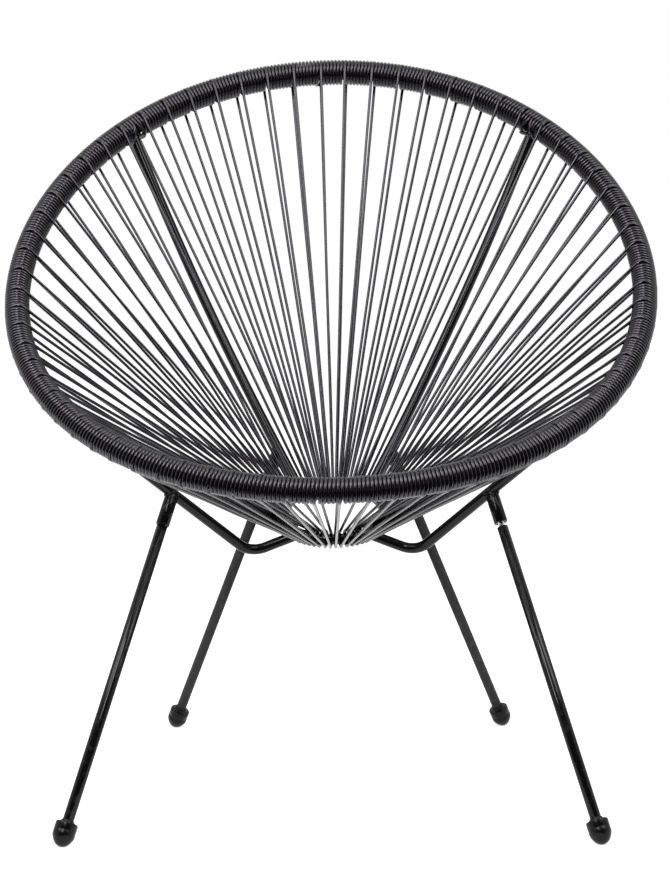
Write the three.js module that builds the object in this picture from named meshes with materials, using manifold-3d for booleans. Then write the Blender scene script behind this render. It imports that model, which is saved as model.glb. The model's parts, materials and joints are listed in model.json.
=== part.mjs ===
// A strung patio chair: a tilted steel hoop wrapped in cord, a small steel ring under the seat, and pairs of
// cords strung between them all the way round. Two bowed struts carry the back of the hoop on the ring, two
// bent arms carry its front, and four straight legs screw into sockets welded under those rods.
// Millimetres. Left and right are as seen from the front: X to the right, Y to the back, Z up from the floor.
import * as THREE from "three";
import { mergeVertices } from "three/addons/utils/BufferGeometryUtils.js";
import Module from "manifold-3d";

const wasm = await Module();
wasm.setup();

// Sizes of the hoop, measured to the centre of its tube unless a name says otherwise
const hoopWidthOverWrap = 730;
const hoopDepth = 568;
const hoopFrontHeight = 373.5;
const hoopSideHeight = 574;
const hoopBackHeight = 816.8;
const hoopSideSteepening = 10;
const hoopTubeDiameter = 19;

// Sizes of the cord
const wrapCordDiameter = 4.2;
const wrapSwellThickness = 1.7;
const strandThickness = 2.6;
const strandWidth = 3.4;
const strandLiftShare = 0.2;
const cordFit = 0.3;

// Sizes of the ring under the seat
const ringDiameter = 124;
const ringTubeDiameter = 12;
const ringSetBack = 45;
const ringHeight = 300.6;
const ringTilt = THREE.MathUtils.degToRad(22);

// Sizes of the struts behind the seat
const strutDiameter = 12;
const strutBow = 17;
const strutHoopAngle = THREE.MathUtils.degToRad(135.75);

// Sizes of the arms, which run from the ring through a bend up to the front of the hoop
const armDiameter = 12;
const armBendRadius = 30;
const armBend = { side: 95, forward: 5, height: 261 };
const armHoopAngle = THREE.MathUtils.degToRad(55);
const armDropAtRing = 4;

// Sizes of the legs, which are alike but for the one that stands a few turns out of its socket
const frontFoot = { side: 281, back: -265.6 };
const rearFoot = { side: 209, back: 214.2 };
const legTubeDiameter = 12;
const legTubeBore = 9.6;
const looseLegGap = 4.5;
const frontHeadShare = 0.42;
const rearHeadShare = 0.885;

// Sizes of the sockets and studs
const socketDiameter = 15;
const socketLength = 39;
const socketRoof = 12;
const studThreadDiameter = 7.8;
const studEndRoom = 3;
const studPlugLength = 20;
const studFit = 0.35;
const seatGap = 0.3;

// Sizes of the rubber feet
const footDiameter = 24;
const footBodyHeight = 13.5;
const footShoulder = 1.5;
const footNeckHeight = 2.5;
const footNeckWall = 1;
const footFlattening = 0.8;
const footBoreDepth = 14;

// How the stringing is shared out
const stationCount = 72;
const backCrowdingShare = 0.115;
const stationsInFront = [5, 4, 5];
const stationsAtSide = [7, 7, 7];
const stationsBehind = [5, 6, 5];
const frontLoopWidth = 5.53;
const armGap = 15;
const strutGap = 21;
const groupGap = 1;
const wrapGap = 0.4;

// How finely the round shapes are faceted
const tubeSides = 8;
const rodSides = 10;
const turnedSides = 16;
const stationsPerFacet = 2;
const strutFacets = 6;
const bendFacets = 4;
const endFacets = 5;
const overrun = 20;
const mergeReach = 0.0001;

// Sizes that follow from the ones above
const hoopTubeRadius = hoopTubeDiameter / 2;
const wrapRadius = hoopTubeRadius + cordFit + wrapCordDiameter;
const hoopHalfWidth = hoopWidthOverWrap / 2 - wrapRadius;
const hoopHalfDepth = hoopDepth / 2;
const ringRadius = ringDiameter / 2;
const ringTubeRadius = ringTubeDiameter / 2;
const ringWrapRadius = ringTubeRadius + cordFit + wrapCordDiameter;
const TURN = Math.PI * 2;

// Finishes
const blackCord = { color: 0x1b1b1d, roughness: 0.38, metalness: 0 };
const blackSteel = { color: 0x17181a, roughness: 0.5, metalness: 0.2 };
const bareSteel = { color: 0xb9bcc0, roughness: 0.3, metalness: 1 };
const blackRubber = { color: 0x151515, roughness: 0.7, metalness: 0 };

const chair = new THREE.Group();

// A closed solid from a geometry whose faces point out
function solidOf(geometry) {
  const bare = geometry.index ? geometry.toNonIndexed() : geometry;
  const places = new THREE.BufferGeometry().setAttribute("position", bare.getAttribute("position"));
  const merged = mergeVertices(places, mergeReach);
  return new wasm.Manifold(
    new wasm.Mesh({
      numProp: 3,
      vertProperties: merged.attributes.position.array,
      triVerts: new Uint32Array(merged.index.array),
    }),
  );
}

// A geometry from a closed solid
function geometryOf(solid) {
  const mesh = solid.getMesh();
  const geometry = new THREE.BufferGeometry();
  geometry.setAttribute("position", new THREE.BufferAttribute(mesh.vertProperties.slice(), 3));
  geometry.setIndex(new THREE.BufferAttribute(mesh.triVerts.slice(), 1));
  geometry.computeVertexNormals();
  return geometry;
}

// One named piece of the chair
function addPiece(name, solid, finish) {
  const piece = new THREE.Mesh(geometryOf(solid), new THREE.MeshStandardMaterial(finish));
  piece.name = name;
  chair.add(piece);
}

// Skin through a row of rings of points, each ring anticlockwise seen from ahead, capped or closed on itself
function loft(rings, closed = false) {
  const sides = rings[0].length;
  const points = rings.flat();
  const faces = [];
  const spans = closed ? rings.length : rings.length - 1;
  for (let i = 0; i < spans; i += 1) {
    const near = i * sides;
    const far = ((i + 1) % rings.length) * sides;
    for (let j = 0; j < sides; j += 1) {
      const k = (j + 1) % sides;
      faces.push(near + j, near + k, far + k, near + j, far + k, far + j);
    }
  }
  if (!closed) {
    const last = (rings.length - 1) * sides;
    for (let j = 1; j < sides - 1; j += 1) {
      faces.push(0, j + 1, j, last, last + j, last + j + 1);
    }
  }
  const geometry = new THREE.BufferGeometry().setFromPoints(points);
  geometry.setIndex(faces);
  return solidOf(geometry);
}

// The wall between an outer and an inner skin through the same places, with a flat face at each end
function tubeWall(outerRings, innerRings) {
  const sides = outerRings[0].length;
  const inside = outerRings.length * sides;
  const last = inside - sides;
  const faces = [];
  for (let j = 0; j < sides; j += 1) {
    const k = (j + 1) % sides;
    for (let near = 0; near < last; near += sides) {
      const far = near + sides;
      faces.push(near + j, near + k, far + k, near + j, far + k, far + j);
      faces.push(inside + near + j, inside + far + k, inside + near + k);
      faces.push(inside + near + j, inside + far + j, inside + far + k);
    }
    faces.push(j, inside + k, k, j, inside + j, inside + k);
    faces.push(last + j, last + k, inside + last + k, last + j, inside + last + k, inside + last + j);
  }
  const geometry = new THREE.BufferGeometry().setFromPoints([...outerRings.flat(), ...innerRings.flat()]);
  geometry.setIndex(faces);
  return solidOf(geometry);
}

// A ring of points round a place, across a direction, with the first point towards "out"
function ringOf(place, direction, out, radius, sides) {
  const side = new THREE.Vector3().crossVectors(direction, out).normalize();
  const up = new THREE.Vector3().crossVectors(side, direction).normalize();
  return Array.from({ length: sides }, (_, j) => {
    const angle = ((j + 0.5) / sides) * TURN;
    return place
      .clone()
      .addScaledVector(up, Math.cos(angle) * radius)
      .addScaledVector(side, Math.sin(angle) * radius);
  });
}

// A round rod through a row of points
function rodAlong(points, radius, sides) {
  const rings = points.map((point, i) => {
    const before = points[Math.max(i - 1, 0)];
    const after = points[Math.min(i + 1, points.length - 1)];
    const direction = new THREE.Vector3().subVectors(after, before).normalize();
    return ringOf(point, direction, new THREE.Vector3(0, 1, 0), radius, sides);
  });
  return loft(rings);
}

// The radius of a many-sided cutter that leaves the seat gap round a bar with as many sides
function roomFor(radius, sides) {
  return radius + seatGap / Math.cos(Math.PI / sides);
}

// The hoop's centre line, by the angle round it from the front, and its heading there
function hoopPoint(angle) {
  const run = -Math.cos(angle);
  const rise = (hoopBackHeight - hoopFrontHeight) / 2;
  const sag = (hoopBackHeight + hoopFrontHeight) / 2 - hoopSideHeight;
  const height =
    hoopSideHeight + (rise + hoopSideSteepening) * run + sag * run ** 2 - hoopSideSteepening * run ** 3;
  return new THREE.Vector3(hoopHalfWidth * Math.sin(angle), hoopHalfDepth * run, height);
}

function hoopHeading(angle) {
  const step = TURN / (stationCount * stationCount);
  return hoopPoint(angle + step).sub(hoopPoint(angle - step)).normalize();
}

// The ring's centre line, by the angle round it from the front, and its heading there
function ringPoint(angle) {
  const run = -Math.cos(angle) * ringRadius;
  return new THREE.Vector3(
    Math.sin(angle) * ringRadius,
    ringSetBack + run * Math.cos(ringTilt),
    ringHeight + run * Math.sin(ringTilt),
  );
}

function ringHeading(angle) {
  const run = Math.sin(angle);
  return new THREE.Vector3(Math.cos(angle), run * Math.cos(ringTilt), run * Math.sin(ringTilt));
}

// The way up and out of the bucket
const bowlUp = hoopPoint(0).add(hoopPoint(Math.PI)).divideScalar(2);
bowlUp.sub(new THREE.Vector3(0, ringSetBack, ringHeight)).normalize();

// Square to a tube and to the strands that leave it, on the bucket's inner side
function innerSide(tubeDirection, strandDirection) {
  const side = new THREE.Vector3().crossVectors(tubeDirection, strandDirection).normalize();
  return side.multiplyScalar(Math.sign(side.dot(bowlUp)));
}

// The angle round the hoop of a station, or of a place between stations, counted from the front
function stationAngle(index) {
  const even = ((index + 0.5) / stationCount) * TURN;
  return even - backCrowdingShare * Math.sin(even);
}

// The wrap on the hoop is laid on a little fuller behind the sitter than at the sides and in front
function wrapRadiusAt(angle) {
  return wrapRadius + wrapSwellThickness * Math.max(-Math.cos(angle), 0);
}

// Rings of points round the hoop and round the ring at a row of cuts. A cut names the angle round the hoop and
// the angle round the ring that one strand joins, and the flats between the points lie square to that strand
function hoopRings(cuts, radiusAt) {
  return cuts.map(({ hoopAngle, ringAngle }) => {
    const run = new THREE.Vector3().subVectors(ringPoint(ringAngle), hoopPoint(hoopAngle));
    const heading = hoopHeading(hoopAngle);
    return ringOf(hoopPoint(hoopAngle), heading, innerSide(heading, run), radiusAt(hoopAngle), tubeSides);
  });
}

function ringRings(cuts, radius) {
  return cuts.map(({ hoopAngle, ringAngle }) => {
    const run = new THREE.Vector3().subVectors(ringPoint(ringAngle), hoopPoint(hoopAngle));
    const heading = ringHeading(ringAngle);
    return ringOf(ringPoint(ringAngle), heading, innerSide(heading, run), radius, tubeSides);
  });
}

// How the ring's length is shared: arms and struts stand in gaps, and stations fill the stretches between. The
// stations in front are spread out and those at the sides and behind are packed closer
const groups = [
  {
    names: ["front_left", "front_centre", "front_right"],
    counts: stationsInFront,
    gapAfter: armGap,
    spread: true,
  },
  {
    names: ["right_front", "right_middle", "right_rear"],
    counts: stationsAtSide,
    gapAfter: strutGap,
  },
  {
    names: ["back_right", "back_centre", "back_left"],
    counts: stationsBehind,
    gapAfter: strutGap,
  },
  {
    names: ["left_rear", "left_middle", "left_front"],
    counts: stationsAtSide,
    gapAfter: armGap,
  },
];
const total = (list) => list.reduce((sum, value) => sum + value, 0);
const gapLength = total(
  groups.map((group) => group.gapAfter + (group.counts.length - 1) * groupGap),
);
const frontCount = total(stationsInFront);
const packedLength = ringRadius * TURN - gapLength - frontCount * frontLoopWidth;
const packedPitch = packedLength / (stationCount - frontCount);

// Each length of cord covers a few stations, and is cut into facets after every couple of them
const cordLengths = [];
let station = -frontCount / 2;
let along = -(frontCount * frontLoopWidth + (stationsInFront.length - 1) * groupGap) / 2;
for (const group of groups) {
  const ringPitch = group.spread ? frontLoopWidth : packedPitch;
  group.counts.forEach((count, i) => {
    const cuts = Array.from({ length: Math.ceil(count / stationsPerFacet) }, (_, j) => j * stationsPerFacet);
    cordLengths.push({
      name: `seat_cord_${group.names[i]}`,
      count,
      cuts: [...cuts, count].map((past) => ({
        past,
        hoopAngle: stationAngle(station + past - 0.5),
        ringAngle: (along + past * ringPitch) / ringRadius,
      })),
    });
    station += count;
    along += count * ringPitch + (i < group.counts.length - 1 ? groupGap : group.gapAfter);
  });
}
const lastInFront = cordLengths.find((length) => length.name === "seat_cord_front_right");
const lastAtSide = cordLengths.find((length) => length.name === "seat_cord_right_rear");
const armRingAngle = lastInFront.cuts.at(-1).ringAngle + armGap / 2 / ringRadius;
const strutRingAngle = lastAtSide.cuts.at(-1).ringAngle + strutGap / 2 / ringRadius;

// The hoop and the ring are faceted with the cord lengths, so that each wrap lies close all round
const hoopCuts = cordLengths.flatMap(({ cuts }) => cuts.slice(0, -1));
const ringCuts = cordLengths.flatMap(({ cuts }) => cuts);
const hoopBoreRadius = roomFor(hoopTubeRadius, tubeSides);
const ringBoreRadius = roomFor(ringTubeRadius, tubeSides);
const hoopRoom = loft(hoopRings(hoopCuts, () => hoopBoreRadius), true);
const ringRoom = loft(ringRings(ringCuts, ringBoreRadius), true);
addPiece("rim_hoop", loft(hoopRings(hoopCuts, () => hoopTubeRadius), true), blackSteel);
addPiece("base_ring", loft(ringRings(ringCuts, ringTubeRadius), true), blackSteel);

// A strut's centre line on one side, bowed away from the sitter
function strutPoints(side) {
  const top = hoopPoint(side * strutHoopAngle);
  const foot = ringPoint(side * strutRingAngle);
  const chord = new THREE.Vector3().subVectors(foot, top);
  const away = new THREE.Vector3().crossVectors(hoopHeading(side * strutHoopAngle), chord).normalize();
  away.multiplyScalar(-Math.sign(away.dot(bowlUp)));
  return (share) =>
    top
      .clone()
      .addScaledVector(chord, share)
      .addScaledVector(away, strutBow * 4 * share * (1 - share));
}

function strutLine(side) {
  const place = strutPoints(side);
  return Array.from({ length: strutFacets + 1 }, (_, i) => place(i / strutFacets));
}

// A place on the straight part of an arm, from the corner of its bend up to the hoop
function armCorner(side) {
  return new THREE.Vector3(side * armBend.side, -armBend.forward, armBend.height);
}

function armPoint(side, share) {
  return armCorner(side).lerp(hoopPoint(side * armHoopAngle), share);
}

// An arm's centre line on one side: from the ring out and down to a round bend, then up to the hoop
function armLine(side) {
  const start = ringPoint(side * armRingAngle);
  start.z -= armDropAtRing;
  const corner = armCorner(side);
  const end = armPoint(side, 1);
  const inward = new THREE.Vector3().subVectors(start, corner).normalize();
  const outward = new THREE.Vector3().subVectors(end, corner).normalize();
  const halfTurn = inward.angleTo(outward) / 2;
  const setOff = armBendRadius / Math.tan(halfTurn);
  const middle = new THREE.Vector3().addVectors(inward, outward).normalize();
  const centre = corner.clone().addScaledVector(middle, armBendRadius / Math.sin(halfTurn));
  const first = corner.clone().addScaledVector(inward, setOff).sub(centre);
  const last = corner.clone().addScaledVector(outward, setOff).sub(centre);
  const sweep = first.angleTo(last);
  const bend = Array.from({ length: bendFacets + 1 }, (_, i) => {
    const share = i / bendFacets;
    const fromFirst = Math.sin((1 - share) * sweep) / Math.sin(sweep);
    const fromLast = Math.sin(share * sweep) / Math.sin(sweep);
    return centre.clone().addScaledVector(first, fromFirst).addScaledVector(last, fromLast);
  });
  return [start, ...bend, end];
}

// Struts and arms, cut to the tubes that they are welded to
const rods = [];
for (const [word, side] of [["left", -1], ["right", 1]]) {
  const strut = rodAlong(strutLine(side), strutDiameter / 2, rodSides);
  addPiece(`back_strut_${word}`, strut.subtract(hoopRoom).subtract(ringRoom), blackSteel);
  const arm = rodAlong(armLine(side), armDiameter / 2, rodSides);
  addPiece(`front_arm_${word}`, arm.subtract(hoopRoom).subtract(ringRoom), blackSteel);
  rods.push(rodAlong(strutLine(side), roomFor(strutDiameter / 2, rodSides), rodSides));
  rods.push(rodAlong(armLine(side), roomFor(armDiameter / 2, rodSides), rodSides));
}

// How far a strand lies from the middle of a tube: bedded on top of the hoop's wrap, and within the ring's wrap
function hoopStrandOffset(outerRadius) {
  return outerRadius * Math.cos(Math.PI / tubeSides) + strandThickness * strandLiftShare;
}

function ringStrandOffset() {
  return (ringBoreRadius + ringWrapRadius * Math.cos(Math.PI / tubeSides)) / 2;
}

// The corners of a strand across its direction: a flat towards the tube and an edge away from it
function strandEnd(place, direction, out) {
  const side = new THREE.Vector3().crossVectors(direction, out).normalize();
  const up = new THREE.Vector3().crossVectors(side, direction).normalize();
  const base = place.clone().addScaledVector(up, -strandThickness / 2);
  return [
    place.clone().addScaledVector(up, strandThickness / 2),
    base.clone().addScaledVector(side, strandWidth / 2),
    base.clone().addScaledVector(side, -strandWidth / 2),
  ];
}

// The two strands of a station lie against the two sides of the hoop and of the ring. Each tube is given here
// by the two ends of its facet
function strand(hoopFacet, ringFacet, hoopWrapRadius, share, face) {
  const top = hoopFacet[0].clone().lerp(hoopFacet[1], share);
  const foot = ringFacet[0].clone().lerp(ringFacet[1], share);
  const run = new THREE.Vector3().subVectors(foot, top).normalize();
  const offTop = innerSide(new THREE.Vector3().subVectors(hoopFacet[1], hoopFacet[0]), run);
  const offFoot = innerSide(new THREE.Vector3().subVectors(ringFacet[1], ringFacet[0]), run);
  top.addScaledVector(offTop, face * hoopStrandOffset(hoopWrapRadius));
  foot.addScaledVector(offFoot, face * ringStrandOffset());
  const direction = new THREE.Vector3().subVectors(foot, top).normalize();
  const out = offTop.add(offFoot).normalize().multiplyScalar(face);
  return loft([strandEnd(top, direction, out), strandEnd(foot, direction, out)]);
}

// One length of the seat cord: its wrap on the hoop, its wrap on the ring, and the strands between
function seatCord({ count, cuts }) {
  const trim = wrapGap / 2 / hoopHalfWidth;
  const trimmed = cuts.map((cut, i) => {
    const inward = Number(i === 0) - Number(i === cuts.length - 1);
    return { ...cut, hoopAngle: cut.hoopAngle + inward * trim };
  });
  const hoopWrap = tubeWall(hoopRings(trimmed, wrapRadiusAt), hoopRings(trimmed, () => hoopBoreRadius));
  const ringWrap = tubeWall(ringRings(cuts, ringWrapRadius), ringRings(cuts, ringBoreRadius));
  let solid = hoopWrap.add(ringWrap);
  for (let i = 0; i < count; i += 1) {
    const next = cuts.findIndex((cut) => cut.past > i);
    const [from, to] = [cuts[next - 1], cuts[next]];
    const share = (i + 0.5 - from.past) / (to.past - from.past);
    const hoopFacet = [hoopPoint(from.hoopAngle), hoopPoint(to.hoopAngle)];
    const ringFacet = [ringPoint(from.ringAngle), ringPoint(to.ringAngle)];
    const around = wrapRadiusAt(from.hoopAngle);
    solid = solid.add(strand(hoopFacet, ringFacet, around, share, 1));
    solid = solid.add(strand(hoopFacet, ringFacet, around, share, -1));
  }
  for (const rod of rods) solid = solid.subtract(rod);
  return solid;
}

for (const length of cordLengths) addPiece(length.name, seatCord(length), blackCord);

// A solid turned about its own Z axis, from a closed outline of radius and height
function turned(outline) {
  const profile = outline.map(([radius, height]) => new THREE.Vector2(radius, height));
  const geometry = new THREE.LatheGeometry([...profile, profile[0]], turnedSides);
  return solidOf(geometry.rotateX(Math.PI / 2));
}

// The frame of a leg: its foot point on the floor, its axis up to the rod that carries it
function legFrame(side, foot, head) {
  const base = new THREE.Vector3(side * foot.side, foot.back, 0);
  const axis = new THREE.Vector3().subVectors(head, base);
  const reach = axis.length();
  axis.normalize();
  const turn = new THREE.Quaternion().setFromUnitVectors(new THREE.Vector3(0, 0, 1), axis);
  const matrix = new THREE.Matrix4().compose(base, turn, new THREE.Vector3(1, 1, 1));
  return { axis, reach, matrix };
}

function placed(solid, matrix) {
  return solidOf(geometryOf(solid).applyMatrix4(matrix));
}

// The rubber foot: a round end flattened by the floor, a straight body, a thin neck, and a bore for the tube
function footOutline(centre) {
  const radius = footDiameter / 2;
  const arc = Array.from({ length: endFacets + 1 }, (_, i) => {
    const angle = ((i / endFacets) * Math.PI) / 2;
    return [radius * Math.sin(angle), centre - radius * Math.cos(angle)];
  });
  const top = centre + footBodyHeight;
  const mouth = top + footNeckHeight;
  const bore = legTubeDiameter / 2 + seatGap;
  return [
    ...arc,
    [radius, top - footShoulder],
    [radius - footShoulder, top],
    [bore + footNeckWall, top],
    [bore + footNeckWall, mouth],
    [bore, mouth],
    [bore, mouth - footBoreDepth],
    [0, mouth - footBoreDepth],
  ];
}

function addLeg(name, side, foot, head, headRodRadius, backedOff) {
  const { axis, reach, matrix } = legFrame(side, foot, head);
  const mouth = reach - socketLength;
  const boreDepth = socketLength - socketRoof;
  const footCentre = (footDiameter / 2 - footFlattening) / axis.z;
  const floor = new THREE.BoxGeometry(overrun * 4, overrun * 4, overrun);
  floor.translate(side * foot.side, foot.back, -overrun / 2);
  const wholeFoot = placed(turned(footOutline(footCentre)), matrix);
  addPiece(`foot_cap_${name}`, wholeFoot.subtract(solidOf(floor)), blackRubber);

  const tubeBottom = footCentre + footBodyHeight + footNeckHeight - footBoreDepth + seatGap;
  const tubeTop = mouth - seatGap - backedOff;
  const tube = turned([
    [legTubeBore / 2, tubeBottom],
    [legTubeDiameter / 2, tubeBottom],
    [legTubeDiameter / 2, tubeTop],
    [legTubeBore / 2, tubeTop],
  ]);
  addPiece(`leg_tube_${name}`, placed(tube, matrix), blackSteel);

  const plug = legTubeBore / 2 - seatGap;
  const thread = studThreadDiameter / 2;
  const stud = turned([
    [0, tubeTop - studPlugLength],
    [plug, tubeTop - studPlugLength],
    [plug, tubeTop],
    [thread, tubeTop],
    [thread, tubeTop + boreDepth - studEndRoom],
    [0, tubeTop + boreDepth - studEndRoom],
  ]);
  addPiece(`leg_stud_${name}`, placed(stud, matrix), bareSteel);

  const bore = thread + studFit;
  const socket = turned([
    [bore, mouth],
    [socketDiameter / 2, mouth],
    [socketDiameter / 2, reach - headRodRadius / 2],
    [0, reach - headRodRadius / 2],
    [0, mouth + boreDepth],
    [bore, mouth + boreDepth],
  ]);
  let seated = placed(socket, matrix);
  for (const rod of rods) seated = seated.subtract(rod);
  addPiece(`leg_socket_${name}`, seated, blackSteel);
}

for (const [word, side] of [["left", -1], ["right", 1]]) {
  const loose = side > 0 ? looseLegGap : 0;
  addLeg(`front_${word}`, side, frontFoot, armPoint(side, frontHeadShare), armDiameter / 2, loose);
  addLeg(`rear_${word}`, side, rearFoot, strutPoints(side)(rearHeadShare), strutDiameter / 2, 0);
}

export default chair;
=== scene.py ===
# %% [markdown]
# # A strung patio chair, from bare frame to finished picture
# The chair is a bucket of cord. A round steel hoop, tilted back, is wound with black vinyl cord; at regular
# places the cord leaves the hoop, runs down to a small steel ring under the seat, turns round it and comes
# back up. Two bowed struts and two bent arms hold the hoop and the ring, and four straight legs screw in.
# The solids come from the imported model, which also says what moves. This lesson gives them their looks.

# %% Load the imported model
import json
import math

import bpy
import numpy as np
from mathutils import Matrix, Vector

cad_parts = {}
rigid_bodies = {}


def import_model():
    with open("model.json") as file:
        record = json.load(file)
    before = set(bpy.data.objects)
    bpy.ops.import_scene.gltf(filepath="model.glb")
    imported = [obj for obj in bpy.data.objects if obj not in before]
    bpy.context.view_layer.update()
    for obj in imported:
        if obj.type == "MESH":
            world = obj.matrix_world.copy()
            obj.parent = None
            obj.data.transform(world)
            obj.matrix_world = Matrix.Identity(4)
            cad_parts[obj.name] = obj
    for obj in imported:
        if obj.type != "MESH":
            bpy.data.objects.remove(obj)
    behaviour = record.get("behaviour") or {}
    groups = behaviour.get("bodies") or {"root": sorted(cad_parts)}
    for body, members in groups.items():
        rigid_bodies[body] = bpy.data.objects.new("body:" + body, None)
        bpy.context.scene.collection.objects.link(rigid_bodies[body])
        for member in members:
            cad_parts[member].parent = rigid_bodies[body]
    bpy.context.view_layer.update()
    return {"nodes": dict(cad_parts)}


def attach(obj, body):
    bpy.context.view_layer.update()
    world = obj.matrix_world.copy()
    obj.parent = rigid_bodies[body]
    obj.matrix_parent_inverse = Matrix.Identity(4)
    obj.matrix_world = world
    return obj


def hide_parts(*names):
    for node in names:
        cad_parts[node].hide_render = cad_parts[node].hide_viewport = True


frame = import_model()
print("nodes:", len(frame["nodes"]))

# %% [markdown]
# ## Sizes
# A chair like this is made from stock: 19 mm tube for the hoop, 12 mm rod for the struts, arms and ring, 12 mm
# tube for the legs, and a cord a little over 4 mm thick. Each size is written once, in metres, and the places
# of the pieces follow from it. They are the same sizes as those of the solids, so every piece lands on them.

# %% Sizes in metres
MM = 0.001
TURN = 2 * math.pi
hoop_half_width = 351.0 * MM
hoop_half_depth = 284.0 * MM
hoop_front, hoop_side, hoop_back = 373.5 * MM, 574.0 * MM, 816.8 * MM
hoop_steepening = 10.0 * MM
hoop_tube = 19.0 * MM
cord_size = 4.2 * MM
strand_size = 3.4 * MM
cord_fit = 0.3 * MM
wrap_swell = 1.7 * MM
ring_radius = 62.0 * MM
ring_tube = 12.0 * MM
ring_centre = Vector((0, 45.0, 300.6)) * MM
ring_tilt = math.radians(22)
rod_size = 12.0 * MM
strut_bow = 17.0 * MM
strut_angle = math.radians(135.75)
arm_weld, strut_weld = 15.0 * MM, 21.0 * MM
station_count = 72
front_crowding = 0.115
wind_radius = hoop_tube / 2 + cord_fit + cord_size / 2
loop_radius = ring_tube / 2 + cord_fit + cord_size / 2
print("cord winds the hoop at radius", round(wind_radius / MM, 2), "mm")

# %% [markdown]
# ## The two curves that everything hangs on
# The hoop is nearly round in its own plane, but its sides are bent up a little, so its height follows a gentle
# cubic from front to back. The ring is a plain circle, tipped so that its back edge is higher. An angle of zero
# is the front of the chair, and a quarter turn is its right side as we look at it.


# %% Centre lines of the hoop and the ring
nudge = 1e-4


def hoop_point(t):
    run = -math.cos(t)
    rise = (hoop_back - hoop_front) / 2
    sag = (hoop_back + hoop_front) / 2 - hoop_side
    height = hoop_side + (rise + hoop_steepening) * run + sag * run**2 - hoop_steepening * run**3
    return Vector((hoop_half_width * math.sin(t), hoop_half_depth * run, height))


def hoop_heading(t):
    return (hoop_point(t + nudge) - hoop_point(t - nudge)).normalized()


def ring_point(a):
    run = -math.cos(a) * ring_radius
    return ring_centre + Vector((math.sin(a) * ring_radius, run * math.cos(ring_tilt), run * math.sin(ring_tilt)))


def ring_heading(a):
    return (ring_point(a + nudge) - ring_point(a - nudge)).normalized()


bowl_up = ((hoop_point(0) + hoop_point(math.pi)) / 2 - ring_centre).normalized()


def inner_side(heading, run):
    """Square to a tube and to the strand that leaves it, on the sitter's side."""
    side = heading.cross(run).normalized()
    return side if side.dot(bowl_up) > 0 else -side


steps = [hoop_point(i / 720 * TURN) for i in range(721)]
hoop_length = sum((b - a).length for a, b in zip(steps, steps[1:]))
print("hoop length", round(hoop_length / MM), "mm")

# %% [markdown]
# ## Where the strands are
# At a station the cord leaves the hoop for the ring and comes back. There are 72 of them round the hoop, a little
# closer together at the front than at the back. On the ring they are packed side by side, with a bare space
# wherever an arm or a strut is welded on. The cord is dressed here in twelve lengths, the same twelve that the
# solids have, and each one rides with the frame.


# %% Stations on the hoop and on the ring
def station_angle(index):
    even = (index + 0.5) / station_count * TURN
    return even - front_crowding * math.sin(even)


quarters = [
    (["front_left", "front_centre", "front_right"], [5, 4, 5], arm_weld),
    (["right_front", "right_middle", "right_rear"], [7, 7, 7], strut_weld),
    (["back_right", "back_centre", "back_left"], [5, 6, 5], strut_weld),
    (["left_rear", "left_middle", "left_front"], [7, 7, 7], arm_weld),
]
group_gap = 1.0 * MM
front_pitch = 5.53 * MM
front_count = sum(quarters[0][1])
bare = sum(weld + (len(counts) - 1) * group_gap for _, counts, weld in quarters)
packed_pitch = (ring_radius * TURN - bare - front_count * front_pitch) / (station_count - front_count)
lengths = []
station = -front_count // 2
along = -(front_count * front_pitch + (len(quarters[0][1]) - 1) * group_gap) / 2
for names, counts, weld in quarters:
    ring_pitch = front_pitch if names[0] == "front_left" else packed_pitch
    for name, count in zip(names, counts):
        ring_angles = [(along + (j + 0.5) * ring_pitch) / ring_radius for j in range(count)]
        ring_end = (along + count * ring_pitch) / ring_radius
        lengths.append({"name": name, "first": station, "count": count, "ring": ring_angles, "end": ring_end})
        station += count
        along += count * ring_pitch + (weld if name == names[-1] else group_gap)
arm_ring_angle = lengths[2]["end"] + arm_weld / 2 / ring_radius
strut_ring_angle = lengths[5]["end"] + strut_weld / 2 / ring_radius
print(len(lengths), "lengths of cord, loops on the ring every", round(packed_pitch / MM, 2), "mm")

# %% [markdown]
# ## Centre lines of the rods
# The struts bow gently away from the sitter, so that the strung back cannot touch them. Each arm leaves the ring,
# drops to a round bend and climbs to the front of the hoop. The front legs hang under these rising parts. These
# lines are wanted before the cord is wound, because the winding has to part wherever a rod reaches the hoop.

# %% Centre lines of the struts and the arms
arm_bend_radius, arm_bend_steps = 30.0 * MM, 14
arm_below_ring = 4.0 * MM
arm_corner = Vector((95.0, -5.0, 261.0)) * MM
arm_hoop_angle = math.radians(55)
front_head_share, rear_head_share = 0.42, 0.885


def strut_point(side, share):
    top, foot = hoop_point(side * strut_angle), ring_point(side * strut_ring_angle)
    chord = foot - top
    away = hoop_heading(side * strut_angle).cross(chord).normalized()
    if away.dot(bowl_up) > 0:
        away = -away
    return top + chord * share + away * strut_bow * 4 * share * (1 - share)


def arm_point(side, share):
    """A place on the rising part of an arm, from the corner of its bend to the hoop."""
    corner = Vector((arm_corner.x * side, arm_corner.y, arm_corner.z))
    return corner.lerp(hoop_point(side * arm_hoop_angle), share)


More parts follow.
